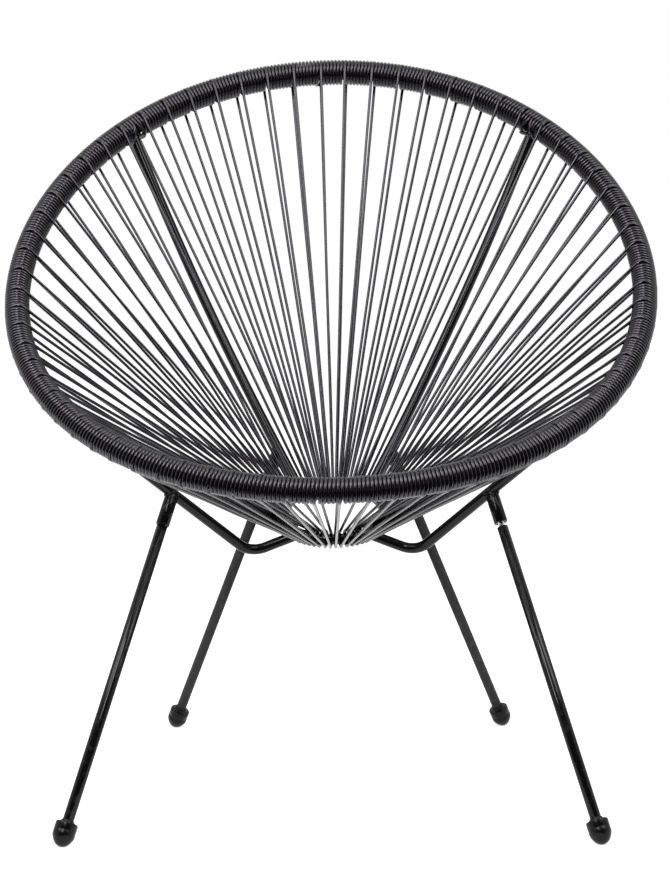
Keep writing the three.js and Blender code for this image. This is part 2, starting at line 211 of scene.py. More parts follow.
def arm_line(side):
    start = ring_point(side * arm_ring_angle) - Vector((0, 0, arm_below_ring))
    corner, end = arm_point(side, 0), arm_point(side, 1)
    inward, outward = (start - corner).normalized(), (end - corner).normalized()
    half = inward.angle(outward) / 2
    first = corner + inward * arm_bend_radius / math.tan(half)
    last = corner + outward * arm_bend_radius / math.tan(half)
    centre = corner + (inward + outward).normalized() * arm_bend_radius / math.sin(half)
    spoke, normal = first - centre, (first - centre).cross(last - centre).normalized()
    swing = spoke.angle(last - centre)
    turns = [Matrix.Rotation(swing * i / arm_bend_steps, 3, normal) for i in range(arm_bend_steps + 1)]
    low_part = [start.lerp(first, i / 5) for i in range(5)]
    return low_part + [centre + turn @ spoke for turn in turns] + [last.lerp(end, i / 24) for i in range(1, 25)]


rod_lines = {}
for word, side in (("left", -1), ("right", 1)):
    rod_lines["strut_" + word] = [strut_point(side, i / 40) for i in range(41)]
    rod_lines["arm_" + word] = arm_line(side)
for word, line in rod_lines.items():
    print(word, "is", round(sum((b - a).length for a, b in zip(line, line[1:])) / MM), "mm long")

# %% [markdown]
# ## A tool for everything long and round
# Cord, rod, tube and weld beads are all a circle carried along a line. Blender's curve bevel could do it, but a
# mesh keeps every turn of the winding editable and lets the thickness change along the way. The circle is
# carried without twisting it: each step turns the last frame by no more than the line itself turns.

# %% Sweep a circle along a line
slanting = [0.31, 0.17, 0.93]


def sweep(points, radius, sides=8, closed=False):
    """Vertices and faces of a round bar through the points. The radius is one number, or one for each point."""
    p = np.array([tuple(v) for v in points])
    count = len(p)
    radii = np.full(count, radius) if np.isscalar(radius) else np.array(radius)
    if closed:
        ahead = np.roll(p, -1, axis=0) - np.roll(p, 1, axis=0)
    else:
        ahead = np.gradient(p, axis=0)
    ahead /= np.linalg.norm(ahead, axis=1)[:, None]
    side = np.cross(ahead[0], slanting)
    sides_out = []
    for direction in ahead:
        side = side - direction * side.dot(direction)
        side /= np.linalg.norm(side)
        sides_out.append(side)
    across = np.array(sides_out)
    other = np.cross(ahead, across)
    angles = np.arange(sides) / sides * TURN
    ring = across[:, None] * np.cos(angles)[None, :, None] + other[:, None] * np.sin(angles)[None, :, None]
    verts = (p[:, None] + ring * radii[:, None, None]).reshape(-1, 3)
    i = np.arange(count if closed else count - 1)[:, None] * sides
    nxt = (np.arange(1, count + 1 if closed else count)[:, None] % count) * sides
    j = np.arange(sides)[None, :]
    k = (j + 1) % sides
    faces = np.stack([i + j, i + k, nxt + k, nxt + j], axis=2).reshape(-1, 4).tolist()
    if not closed:
        faces.append(list(range(sides))[::-1])
        faces.append([(count - 1) * sides + n for n in range(sides)])
    return verts.tolist(), faces


def make_piece(name, parts, body="seat_and_frame"):
    """One object from a list of (vertices, faces), smooth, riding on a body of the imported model."""
    verts, faces = [], []
    for part_verts, part_faces in parts:
        start = len(verts)
        verts += part_verts
        faces += [[start + n for n in face] for face in part_faces]
    mesh = bpy.data.meshes.new(name)
    mesh.from_pydata(verts, [], faces)
    mesh.shade_smooth()
    mesh.update()
    piece = bpy.data.objects.new(name, mesh)
    bpy.context.scene.collection.objects.link(piece)
    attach(piece, body)
    return piece


# %% [markdown]
# ## The cord's path
# Follow the real cord. It winds round the hoop, down the outside, under and up. At a station it skips the inner
# half of one turn: it leaves the top of the hoop, runs to the ring, goes round the ring's inner side, and comes
# back to the underside of the hoop, where the winding goes on as if nothing had happened. Counting turns along
# the hoop therefore gives the whole path: every whole number of turns is a top, every half turn a bottom. The
# turns lie side by side, a little tighter at the front than at the back, and a table of them says how many turns
# there are up to any angle. Each station is moved to the nearest whole turn, so that its strand starts on a top.
# Where a rod is welded to the hoop the turns part on its two sides, ride up on their neighbours, and make the
# small knob that can be seen on the real chair.

# %% Turns along the hoop
station_ring = {}
for length in lengths:
    for j, angle in enumerate(length["ring"]):
        station_ring[length["first"] + j] = angle
first_station, last_station = lengths[0]["first"], lengths[-1]["first"] + lengths[-1]["count"] - 1
station_ring[first_station - 1] = station_ring[last_station] - TURN
station_ring[last_station + 1] = station_ring[first_station] + TURN

mean_pitch, pitch_change = 1.012 * cord_size, 0.022 * cord_size
laps = np.linspace(0, TURN, 1441)
lap_points = np.array([tuple(hoop_point(t)) for t in laps])
lap_steps = np.linalg.norm(np.diff(lap_points, axis=0), axis=1)
pitches = mean_pitch - pitch_change * np.cos((laps[1:] + laps[:-1]) / 2)
lap_turns = np.concatenate([[0], np.cumsum(lap_steps / pitches)])
all_turns = round(lap_turns[-1])
lap_turns *= all_turns / lap_turns[-1]


def turns_at(t):
    whole = math.floor(t / TURN)
    return whole * all_turns + float(np.interp(t - whole * TURN, laps, lap_turns))


def place_of(turns):
    whole = math.floor(turns / all_turns)
    return whole * TURN + float(np.interp(turns - whole * all_turns, lap_turns, laps))


station_turn = {k: round(turns_at(station_angle(k))) for k in range(first_station - 1, last_station + 2)}
station_t = {k: place_of(turn) for k, turn in station_turn.items()}
turns_after = {k: station_turn[k + 1] - station_turn[k] for k in range(first_station - 1, last_station + 1)}
print("turns between stations:", sorted(set(turns_after.values())), "in all", all_turns)


def winding_frame(t, a):
    """Centre, heading, inward and sitter's-side directions of the hoop where it faces the ring at angle a."""
    centre, heading = hoop_point(t), hoop_heading(t)
    run = ring_point(a) - centre
    inward = (run - heading * run.dot(heading)).normalized()
    return centre, heading, inward, inner_side(heading, run)


def smooth_step(low, high, value):
    share = min(max((value - low) / (high - low), 0), 1)
    return share * share * (3 - 2 * share)


def swell_at(t):
    return wrap_swell * max(-math.cos(t), 0)


knob_room = rod_size / 2 + cord_size / 2 + 0.2 * MM
knob_height, knob_flare = 3.4 * MM, 1.2 * MM
rod_ends = []
for word, t in (("strut_right", strut_angle), ("arm_right", arm_hoop_angle)):
    for turned_t, line in ((t, rod_lines[word]), (TURN - t, rod_lines[word.replace("right", "left")])):
        near_end, inner = (line[0], line[1]) if word.startswith("strut") else (line[-1], line[-2])
        rod_ends.append((turned_t, (inner - near_end).normalized()))


def wind(k, turn):
    """The cord's centre a number of turns after station k."""
    share = turn / turns_after[k]
    t = place_of(station_turn[k] + turn)
    a = station_ring[k] * (1 - share) + station_ring[k + 1] * share
    centre, heading, inward, sitter = winding_frame(t, a)
    phase = math.pi / 2 - TURN * turn
    radius, slide = wind_radius + swell_at(t), 0
    for rod_t, rod_way in rod_ends:
        away = (t - rod_t) * (hoop_point(rod_t + 0.01) - hoop_point(rod_t)).length / 0.01
        if abs(away) < knob_room:
            rod_phase = math.atan2(rod_way.dot(sitter), rod_way.dot(inward))
            pushed = smooth_step(0.1, 0.75, math.cos(phase - rod_phase))
            near = 1 - abs(away) / knob_room
            slide = pushed * (math.copysign(knob_room + knob_flare * near, away) - away)
            radius += pushed * near * knob_height
    return centre + heading * slide + (inward * math.cos(phase) + sitter * math.sin(phase)) * radius


# %% [markdown]
# A cord cannot turn a sharp corner, so each place where it leaves a tube or joins one is a short easy bend
# instead: a cubic between two points and the directions that the cord has there. The strands themselves are
# taut and straight, apart from a fraction of a millimetre of waviness that keeps them from looking machined. The
# pull makes them thinner too: 3.4 mm against the 4.2 mm of the relaxed turns.
#
# A strand leans along the hoop, so it cannot leave from among its neighbours without crossing them. On the real
# chair it climbs on top of them first, most of all at the back, and sinks among them again after its return. The
# return lands a little further along than the start, which gives the strands of the back their narrow V.


# %% Bends and strands
def bend(start, start_way, end, end_way, count):
    reach = (end - start).length
    out = []
    for i in range(count):
        s = i / count
        h = (2 * s**3 - 3 * s**2 + 1, s**3 - 2 * s**2 + s, -2 * s**3 + 3 * s**2, s**3 - s**2)
        out.append(start * h[0] + start_way * reach * h[1] + end * h[2] + end_way * reach * h[3])
    return out


chance = np.random.default_rng(11)
turn_steps, climb_steps, wave_steps = 16, 6, 10
climb = 0.2
ride_height, front_share = 2.0 * MM, 0.3
return_reach = 28.0 * MM
hoop_ease, ring_ease = 14.0 * MM, 7.0 * MM
loop_angles = np.radians([62, 40, 20, 0, -20, -40, -62])


def leaning(k):
    """How much the strand of a station leans along the hoop, and how far its return lands beyond the station."""
    centre, heading = hoop_point(station_t[k]), hoop_heading(station_t[k])
    slant = (ring_point(station_ring[k]) - centre).normalized().dot(heading)
    beyond = return_reach * slant * max(-math.cos(station_t[k]), 0)
    return slant, beyond


def ride_at(k):
    """How far the strand rides over the winding: most at the back, where it leans most, little at the front."""
    return ride_height * (front_share + (1 - front_share) * max(-math.cos(station_t[k]), 0))


def over_windings(k, first_turn, last_turn, rising):
    """The cord climbing on top of its neighbours before it leaves the hoop, or sinking back among them."""
    slant, beyond = leaning(k)
    half_pitch = (hoop_point(place_of(station_turn[k] + 0.5)) - hoop_point(station_t[k])).length
    back_by = 0 if rising else beyond - half_pitch
    out = []
    for i in range(climb_steps):
        share = i / climb_steps
        turn = first_turn + (last_turn - first_turn) * share
        centre, heading, inward, sitter = winding_frame(place_of(station_turn[k] + turn), station_ring[k])
        phase = math.pi / 2 - TURN * turn
        height = smooth_step(0, 1, share if rising else 1 - share)
        radius = wind_radius + swell_at(station_t[k]) + height * ride_at(k)
        slide = -slant * radius * 0.5 * math.sin(math.pi * height) + back_by * (1 - smooth_step(0, 1, share))
        out.append(centre + heading * slide + (inward * math.cos(phase) + sitter * math.sin(phase)) * radius)
    return out


def strand_pair(k):
    """The cord from just before the top of the hoop at station k, round the ring, to just after the underside."""
    a = station_ring[k]
    top_c, heading, _, top_up = winding_frame(station_t[k], a)
    low_c = top_c + heading * leaning(k)[1]
    g, g_heading = ring_point(a), ring_heading(a)
    run = g - top_c
    g_in = (run - g_heading * run.dot(g_heading)).normalized()
    g_up = inner_side(g_heading, run)
    on_hoop = wind_radius + swell_at(station_t[k]) + ride_at(k)
    leave, land = top_c + top_up * on_hoop, g + g_up * loop_radius
    depart, arrive = g - g_up * loop_radius, low_c - top_up * on_hoop
    down, back = (land - leave).normalized(), (arrive - depart).normalized()
    full, slim = cord_size / 2, strand_size / 2
    easing = [full + (slim - full) * smooth_step(0, 4, i) for i in range(4)]
    free, near_ring = leave + down * hoop_ease, land - down * ring_ease
    off_ring, near_hoop = depart + back * ring_ease, arrive - back * hoop_ease
    loop = [g + (g_in * math.cos(p) + g_up * math.sin(p)) * loop_radius for p in loop_angles]
    stages = [
        (over_windings(k, -climb, 0, True), [full] * climb_steps),
        ([leave.lerp(free, i / 4) for i in range(4)], easing),
        (wavy(free, near_ring), [slim] * wave_steps),
        (bend(near_ring, down, loop[0], (loop[1] - loop[0]).normalized(), 3), easing[:0:-1]),
        (loop[:-1], [full] * (len(loop) - 1)),
        (bend(loop[-1], (loop[-1] - loop[-2]).normalized(), off_ring, back, 3), easing[:3]),
        (wavy(off_ring, near_hoop), [slim] * wave_steps),
        ([near_hoop.lerp(arrive, i / 4) for i in range(4)], easing[::-1]),
        (over_windings(k, 0.5, 0.5 + climb, False), [full] * climb_steps),
    ]
    return sum((places for places, _ in stages), []), sum((radii for _, radii in stages), [])


def wavy(start, end):
    """A taut strand from start to end that is out of line by less than half a millimetre."""
    across = (end - start).normalized().cross(Vector(chance.normal(size=3))).normalized()
    size, shift = chance.uniform(0.1, 0.45) * MM, chance.uniform(0, TURN)
    out = []
    for i in range(wave_steps):
        share = i / wave_steps
        swell = math.sin(math.pi * share) * math.sin(share * TURN * 1.3 + shift)
        out.append(start.lerp(end, share) + across * size * swell)
    return out


def winding(k, first_turn, last_turn):
    """The cord's centres from one number of turns after station k up to, but not with, another."""
    count = max(1, round((last_turn - first_turn) * turn_steps))
    return [wind(k, first_turn + (last_turn - first_turn) * i / count) for i in range(count)]

# %% [markdown]
# A length starts half way to its first station and ends half way past its last. Its whole route is one line, so
# one sweep makes the piece.

# %% Twelve lengths of cord
cords = []
for length in lengths:
    first, last = length["first"], length["first"] + length["count"] - 1
    before = first - 1
    route = winding(before, turns_after[before] // 2 + 0.5, turns_after[before] - climb)
    thickness = [cord_size / 2] * len(route)
    for k in range(first, last + 1):
        path, radii = strand_pair(k)
        stop = turns_after[k] - climb if k < last else turns_after[k] // 2 + 0.5
        wound = winding(k, 0.5 + climb, stop)
        route += path + wound
        thickness += radii + [cord_size / 2] * len(wound)
    route.append(wind(last, turns_after[last] // 2 + 0.5))
    thickness.append(cord_size / 2)
    cord = make_piece("cord_" + length["name"], [sweep(route, thickness)])
    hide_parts("seat_cord_" + length["name"])
    cords.append(cord)
    print(cord.name, round(sum((b - a).length for a, b in zip(route, route[1:])), 2), "m of cord")
print(len(cords), "cords,", sum(len(c.data.polygons) for c in cords), "faces")

# %% [markdown]
# The cord comes in lengths, and where two of them meet their ends are tied together. The knots sit behind the top
# rim, beside a returning strand, and peep out under its lower edge. Each is a trefoil, the plain overhand knot
# with its ends joined, drawn up tight.

# %% Four knots
knot_steps, knot_scale, knot_cord = 48, 0.9 * MM, 2.8 * MM
beside_strand = 4.0 * MM
knots = []
for station, way in ((36, 1), (42, -1), (31, -1), (29, 1)):
    path, _ = strand_pair(station)
    last_of_strand = path[-climb_steps - 4].lerp(path[-climb_steps - 1], 0.5)
    centre = last_of_strand + hoop_heading(station_t[station]) * way * beside_strand
    curls = []
    for i in range(knot_steps):
        p = i / knot_steps * TURN
        x, y = math.sin(p) + 2 * math.sin(2 * p), math.cos(p) - 2 * math.cos(2 * p)
        curls.append(centre + Vector((x, y, -1.4 * math.sin(3 * p))) * knot_scale)
    knots.append(sweep(curls, knot_cord / 2, closed=True))
knot_piece = make_piece("cord_knots", knots)
cords.append(knot_piece)
print(len(knots), "knots")

# %% [markdown]
# ## The rods
# Struts, arms and ring are all 12 mm round bar and the hoop is 19 mm tube, so the same sweep makes them along the
# centre lines found above.

# %% Struts, arms, ring and hoop
for word, line in rod_lines.items():
    rod = make_piece(word, [sweep(line, rod_size / 2, 24)])
    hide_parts(("back_" if word.startswith("strut") else "front_") + word)

ring_line = [ring_point(i / 120 * TURN) for i in range(120)]
ring = make_piece("ring", [sweep(ring_line, ring_tube / 2, 20, closed=True)])
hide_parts("base_ring")
hoop_line = [hoop_point(i / 240 * TURN) for i in range(240)]
hoop = make_piece("hoop", [sweep(hoop_line, hoop_tube / 2, 20, closed=True)])
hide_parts("rim_hoop")
print("struts, arms, ring and hoop are round")

# %% [markdown]
# ## Turned pieces
# Sockets, leg tubes, studs and rubber feet are all lathe work: an outline turned about the leg's own axis. The
# outline is given as pairs of radius and height from the floor up, and corners get their small real chamfers,
# because an edge without one never catches the light.

# %% Turn an outline about a leg
front_foot, rear_foot = Vector((281.0, -265.6, 0)) * MM, Vector((209.0, 214.2, 0)) * MM
leg_tube, leg_bore = 12.0 * MM, 9.6 * MM
loose_gap = 4.5 * MM
socket_size, socket_length, socket_bore = 15.0 * MM, 39.0 * MM, 27.0 * MM
thread_size, thread_length, thread_pitch = 7.8 * MM, 24.0 * MM, 1.25 * MM
foot_size, foot_body, foot_neck, foot_flat = 24.0 * MM, 13.5 * MM, 2.5 * MM, 0.8 * MM
foot_narrowing, parting_height, shoulder, lip = 0.1, 4.7 * MM, 1.6 * MM, 0.5 * MM
leg_in_foot = 8.5 * MM


def leg_frame(name):
    """Foot point on the floor, axis up the leg, and how far up the carrying rod's centre is."""
    side = -1 if name.endswith("left") else 1
    if name.startswith("front"):
        foot, head = front_foot, arm_point(side, front_head_share)
    else:
        foot, head = rear_foot, strut_point(side, rear_head_share)
    foot = Vector((foot.x * side, foot.y, foot.z))
    return foot, (head - foot).normalized(), (head - foot).length


def square_to(axis, share):
    """The direction square to the axis that lies a share of a full turn round it."""
    side = axis.cross(Vector((0, 1, 0))).normalized()
    return side * math.cos(share * TURN) + axis.cross(side) * math.sin(share * TURN)


def turned(foot, axis, outline, sides=32):
    """Vertices and faces of an outline of (radius, height) turned about the leg; both ends lie on the axis."""
    verts, faces, rings = [], [], []
    for radius, height in outline:
        centre = foot + axis * height
        if radius == 0:
            rings.append([len(verts)])
            verts.append(tuple(centre))
            continue
        rings.append(list(range(len(verts), len(verts) + sides)))
        verts += [tuple(centre + square_to(axis, j / sides) * radius) for j in range(sides)]
    for low, high in zip(rings, rings[1:]):
        for j in range(sides):
            k = (j + 1) % sides
            if len(low) == 1 and len(high) > 1:
                faces.append([low[0], high[k], high[j]])
            elif len(high) == 1 and len(low) > 1:
                faces.append([low[j], low[k], high[0]])
            elif len(low) > 1:
                faces.append([low[j], low[k], high[k], high[j]])
    return verts, faces


def arc(centre_radius, centre_height, radius, start, stop, count):
    """Points of a rounded corner in an outline; angles in degrees from the outward direction."""
    out = []
    for i in range(count + 1):
        angle = math.radians(start + (stop - start) * i / count)
        out.append((centre_radius + radius * math.cos(angle), centre_height + radius * math.sin(angle)))
    return out


# %% [markdown]
# ### Rubber feet
# A moulded rubber cap with a blunt ball end pushes on over each leg. It squats a little where it meets the floor,
# has a faint parting line where the two halves of its mould met, a rounded shoulder, and a thin neck that grips
# the tube.

# %% Four feet
leg_names = ["front_left", "front_right", "rear_left", "rear_right"]
for name in leg_names:
    foot, axis, _ = leg_frame(name)
    r = foot_size / 2
    centre = (r - foot_flat) / axis.z
    top, mouth, neck = centre + foot_body, centre + foot_body + foot_neck, leg_tube / 2 + 1.3 * MM
    seam, grip = centre + parting_height, leg_tube / 2 + 0.2 * MM
    outline = [(0, centre - r)]
    for x, y in arc(0, centre, r, -86, 0, 18):
        steepness = math.sin(2 * math.acos(min((centre - y) / r, 1)))
        outline.append((x * (1 - foot_narrowing * steepness), y))
    outline += [(r, seam - 0.3 * MM), (r - 0.15 * MM, seam), (r, seam + 0.3 * MM)]
    outline += arc(r - shoulder, top - shoulder, shoulder, 0, 90, 5)
    outline += [(neck + lip, top), (neck, top + 0.4 * MM)]
    outline += arc(neck - lip, mouth - lip, lip, 0, 90, 3)
    outline += [(grip + 0.1 * MM, mouth), (grip, mouth - 0.4 * MM)]
    outline += [(grip, mouth - 9 * MM), (0, mouth - 9 * MM)]
    verts, faces = turned(foot, axis, outline, 40)
    verts = [(x, y, max(z, 0)) for x, y, z in verts]
    cap = make_piece("foot_" + name, [(verts, faces)], "leg_" + name)
    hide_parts("foot_cap_" + name)
print("foot centre stands", round(centre / MM, 1), "mm up its leg")

# %% [markdown]
# ### Legs, studs and sockets
# A leg is a straight tube with a threaded stud in its head. Three of the legs are screwed home; the front right
# one stands a few turns out, so a few millimetres of bright thread show. The thread is a real helix: each ring
# of points round the stud is lifted by one pitch on its way round, which a plain stack of grooves would not do.


# %% A thread as a helix
def threaded_rod(foot, axis, low, high, size, pitch, sides=24):
    depth = 0.55 * pitch
    profile = [(0.0, 0.0), (0.16, 0.0), (0.5, 1.0), (0.62, 1.0)]
    rows = int((high - low) / pitch)
    verts, faces = [], []
    for row in range(rows):
        for share, cut in profile:
            for j in range(sides):
                height = min(low + (row + share + j / sides) * pitch, high)
                verts.append(tuple(foot + axis * height + square_to(axis, j / sides) * (size / 2 - depth * cut)))
    count = len(verts) // sides
    for row in range(count - 1):
        for j in range(sides):
            k = (j + 1) % sides
            near, far = row * sides, (row + 1) * sides
            if k:
                faces.append([near + j, near + k, far + k, far + j])
            elif row + 1 + len(profile) < count:
                faces.append([near + j, near + len(profile) * sides, far + len(profile) * sides, far + j])
    return verts, faces

# %% [markdown]
# The stud is a plain core with the thread round it, and both move with their leg.

# %% Four legs with their studs
for name in leg_names:
    foot, axis, reach = leg_frame(name)
    centre = (foot_size / 2 - foot_flat) / axis.z
    low = centre + foot_body + foot_neck - leg_in_foot
    top = reach - socket_length - 0.3 * MM - (loose_gap if name == "front_right" else 0)
    r, bore = leg_tube / 2, leg_bore / 2
    outline = [(0, low), (r - 0.4 * MM, low), (r, low + 0.4 * MM), (r, top - 0.5 * MM)]
    outline += arc(r - 0.5 * MM, top - 0.5 * MM, 0.5 * MM, 0, 90, 4)
    outline += [(bore, top), (bore, top - 2 * MM), (0, top - 2 * MM)]
    tube = make_piece("leg_" + name, [turned(foot, axis, outline)], "leg_" + name)
    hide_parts("leg_tube_" + name)
    core = thread_size / 2 - 0.62 * thread_pitch
    plug = [(0, top - 2 * MM), (bore - 0.1 * MM, top - 2 * MM), (bore - 0.1 * MM, top - 0.4 * MM)]
    plug += [(bore - 0.5 * MM, top), (core, top), (core, top + thread_length - 0.6 * MM)]
    plug += [(core - 0.8 * MM, top + thread_length), (0, top + thread_length)]
    thread = threaded_rod(foot, axis, top, top + thread_length - 0.5 * MM, thread_size, thread_pitch)
    stud = make_piece("stud_" + name, [turned(foot, axis, plug, 24), thread], "leg_" + name)
    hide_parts("leg_stud_" + name)
print("legs are", round((top - low) / MM), "mm of tube")


# %% [markdown]
# A socket is a short sleeve, welded with its closed end under the rod. Its mouth has a machined face, and a bead
# of weld runs round its top where it meets the bar. To find the bead's path, walk up the socket's wall at each
# angle until the rod's skin is met; where the wall passes beside the rod, take the nearest place.

# %% Sockets and the beads that hold them
bead_spots, bead_probes = 48, 26


def distance_to(line, place):
    gaps = []
    for a, b in zip(line, line[1:]):
        share = min(max((place - a).dot(b - a) / (b - a).length_squared, 0), 1)
        gaps.append((place - a.lerp(b, share)).length)
    return min(gaps)


def smoothed(ring, near):
    """A closed path with each point moved to the mean of itself and its near neighbours on both sides."""
    window = range(-near, near + 1)
    return [sum((ring[(i + n) % len(ring)] for n in window), Vector()) / len(window) for i in range(len(ring))]


def tripled(ring):
    """A closed path with two more points between each point and the next."""
    return [ring[i // 3].lerp(ring[(i // 3 + 1) % len(ring)], (i % 3) / 3) for i in range(3 * len(ring))]


def rippled(count, size, ripple, ripples, seed):
    """The thickness of a bead along its way: even ripples from the welder's hand, and seeded lumps."""
    noise = np.random.default_rng(seed)
    lumps = noise.uniform(-0.25, 0.25, count)
    lumps = (lumps + np.roll(lumps, 1) + np.roll(lumps, -1)) / 3
    return [size * (1 + ripple * math.sin(ripples * TURN * i / count) + lumps[i]) for i in range(count)]


for number, name in enumerate(leg_names):
    foot, axis, reach = leg_frame(name)
    side_word = name.split("_")[1]
    side = -1 if side_word == "left" else 1
    carrier = arm_line(side) if name.startswith("front") else rod_lines["strut_" + side_word]
    r, bore, skin = socket_size / 2, thread_size / 2 + 0.35 * MM, rod_size / 2
    mouth = reach - socket_length
    outline = [(0, mouth + socket_bore), (bore, mouth + socket_bore), (bore, mouth + 0.6 * MM)]
    outline += [(bore + 0.6 * MM, mouth), (r - 0.7 * MM, mouth), (r, mouth + 0.7 * MM)]
    outline += [(r, reach - 2.5 * MM), (r - 0.8 * MM, reach - 1.0 * MM), (0, reach - 1.0 * MM)]
    parts = [turned(foot, axis, outline)]
    path = []
    for i in range(bead_spots):
        wall = square_to(axis, i / bead_spots) * r
        heights = [reach - 12 * MM + n * 0.5 * MM for n in range(bead_probes)]
        gaps = [distance_to(carrier, foot + axis * h + wall) for h in heights]
        nearest = min(range(bead_probes), key=lambda n: gaps[n])
        met = next((n for n, gap in enumerate(gaps) if gap < skin + 0.3 * MM), nearest)
        path.append(foot + axis * heights[met] + wall * 0.97)
    path = tripled(smoothed(path, 2))
    parts.append(sweep(path, rippled(3 * bead_spots, 1.7 * MM, 0.13, 18, number), 10, closed=True))
    socket = make_piece("socket_" + name, parts)
    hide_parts("leg_socket_" + name)
print("four sockets, each with its bead of weld")


# %% [markdown]
# The same kind of bead joins the rods to the ring and to the hoop. Those on the hoop are nearly buried by the
# winding.

# %% Beads round the ends of the rods
collar_spots, collar_size = 40, 1.8 * MM


def collar_bead(line, from_start, tube_line, tube_radius, seed):
    """A bead where a rod meets a tube: walk along the rod's skin from far off until the tube's skin is met."""
    run = line if from_start else line[::-1]
    end, inner = run[0], run[min(4, len(run) - 1)]
    way = (end - inner).normalized()
    across = way.cross(Vector((0.1, 0.2, 1))).normalized()
    other = way.cross(across)
    path = []
    for i in range(collar_spots):
        angle = i / collar_spots * TURN
        wall = (across * math.cos(angle) + other * math.sin(angle)) * rod_size / 2
        spots = [end - way * (20 - n) * MM + wall for n in range(21)]
        touching = (spot for spot in spots if distance_to(tube_line, spot) < tube_radius + 0.4 * MM)
        path.append(next(touching, spots[-1]))
    path = tripled(smoothed(path, 1))
    return sweep(path, rippled(len(path), collar_size, 0.12, 14, seed), closed=True)


beads = []
ring_loop, hoop_loop = ring_line + ring_line[:1], hoop_line + hoop_line[:1]
for word, side in (("left", -1), ("right", 1)):
    strut, arm = rod_lines["strut_" + word], rod_lines["arm_" + word]
    beads.append(collar_bead(strut, False, ring_loop, ring_tube / 2, 20 + side))
    beads.append(collar_bead(strut, True, hoop_loop, hoop_tube / 2, 24 + side))
    beads.append(collar_bead(arm, True, ring_loop, ring_tube / 2, 28 + side))
    beads.append(collar_bead(arm, False, hoop_loop, hoop_tube / 2, 32 + side))
weld = make_piece("weld_beads", beads)
print("beads of weld:", len(beads))

# %% [markdown]
# ## Effects that several finishes share
# Three effects come back in several finishes, so each is a node group, built once. The first is a fine grain:
# the orange peel of a sprayed coat or the faint die lines of drawn vinyl, as a height for a Bump node and a slow
# mottle for the roughness. The second is rubbed edges, where a coat has gone thin. The third is dust, which
# settles on what faces up.


# %% Start a node group
def effect_group(name, inputs, outputs):
    group = bpy.data.node_groups.new(name, "ShaderNodeTree")
    for label, value in inputs:
        socket = group.interface.new_socket(name=label, in_out="INPUT", socket_type="NodeSocketFloat")
        socket.default_value = value
    for label in outputs:
        group.interface.new_socket(name=label, in_out="OUTPUT", socket_type="NodeSocketFloat")
    inside, outside = group.nodes.new("NodeGroupInput"), group.nodes.new("NodeGroupOutput")
    return group, inside.outputs, outside.inputs


def feed(tree, socket, value):
    """A number is written into the socket, and anything else is linked to it."""
    if isinstance(value, (int, float)):
        socket.default_value = value
    else:
        tree.links.new(value, socket)


def math_node(tree, operation, *values, clamp=False):
    node = tree.nodes.new("ShaderNodeMath")
    node.operation, node.use_clamp = operation, clamp
    for socket, value in zip(node.inputs, values):
        feed(tree, socket, value)
    return node.outputs[0]


def ramp_node(tree, value, low, high):
    node = tree.nodes.new("ShaderNodeMapRange")
    node.interpolation_type = "SMOOTHSTEP"
    for label, entry in (("Value", value), ("From Min", low), ("From Max", high)):
        feed(tree, node.inputs[label], entry)
    return node.outputs[0]


def noise_node(tree, place, scale, detail=2.0):
    node = tree.nodes.new("ShaderNodeTexNoise")
    for label, entry in (("Detail", detail), ("Scale", scale), ("Vector", place)):
        feed(tree, node.inputs[label], entry)
    return node.outputs["Fac"]

# %% [markdown]
# Grain and mottle are two noises of different scale. Wear is where an edge is sharp and a noise agrees. Dust is
# flecks inside clouds, and only on what faces up.

# %% Grain, edge wear and dust
grain, grain_in, grain_out = effect_group(
    "fine_grain", [("Grains per metre", 1200.0), ("Mottles per metre", 22.0)], ["Height", "Mottle"]
)
place = grain.nodes.new("ShaderNodeTexCoord").outputs["Object"]
fine = noise_node(grain, place, grain_in["Grains per metre"], 1.0)
slow = noise_node(grain, place, grain_in["Mottles per metre"], 4.0)
grain.links.new(fine, grain_out["Height"])
grain.links.new(slow, grain_out["Mottle"])

wear, wear_in, wear_out = effect_group(
    "edge_wear", [("Sharpness", 0.56), ("Patchiness", 0.5), ("Amount", 0.5)], ["Mask"]
)
place = wear.nodes.new("ShaderNodeTexCoord").outputs["Object"]
edge = wear.nodes.new("ShaderNodeNewGeometry").outputs["Pointiness"]
worn = ramp_node(wear, edge, wear_in["Sharpness"], 0.64)
patch = ramp_node(wear, noise_node(wear, place, 140.0, 5.0), wear_in["Patchiness"], 0.72)
bare_patches = math_node(wear, "MULTIPLY", worn, patch)
mask = math_node(wear, "MULTIPLY", bare_patches, wear_in["Amount"], clamp=True)
wear.links.new(mask, wear_out["Mask"])

dust, dust_in, dust_out = effect_group(
    "settled_dust", [("Amount", 0.3), ("Flecks per metre", 900.0)], ["Mask"]
)
place = dust.nodes.new("ShaderNodeTexCoord").outputs["Object"]
facing = dust.nodes.new("ShaderNodeSeparateXYZ")
dust.links.new(dust.nodes.new("ShaderNodeNewGeometry").outputs["Normal"], facing.inputs[0])
upward = ramp_node(dust, facing.outputs["Z"], 0.25, 1.0)
flecks = ramp_node(dust, noise_node(dust, place, dust_in["Flecks per metre"], 3.0), 0.35, 0.75)
cloud = ramp_node(dust, noise_node(dust, place, 14.0, 4.0), 0.35, 0.7)
film = math_node(dust, "MULTIPLY", math_node(dust, "MULTIPLY", flecks, cloud), upward)
mask = math_node(dust, "MULTIPLY", film, dust_in["Amount"], clamp=True)
dust.links.new(mask, dust_out["Mask"])
print("effects:", grain.name, wear.name, dust.name)
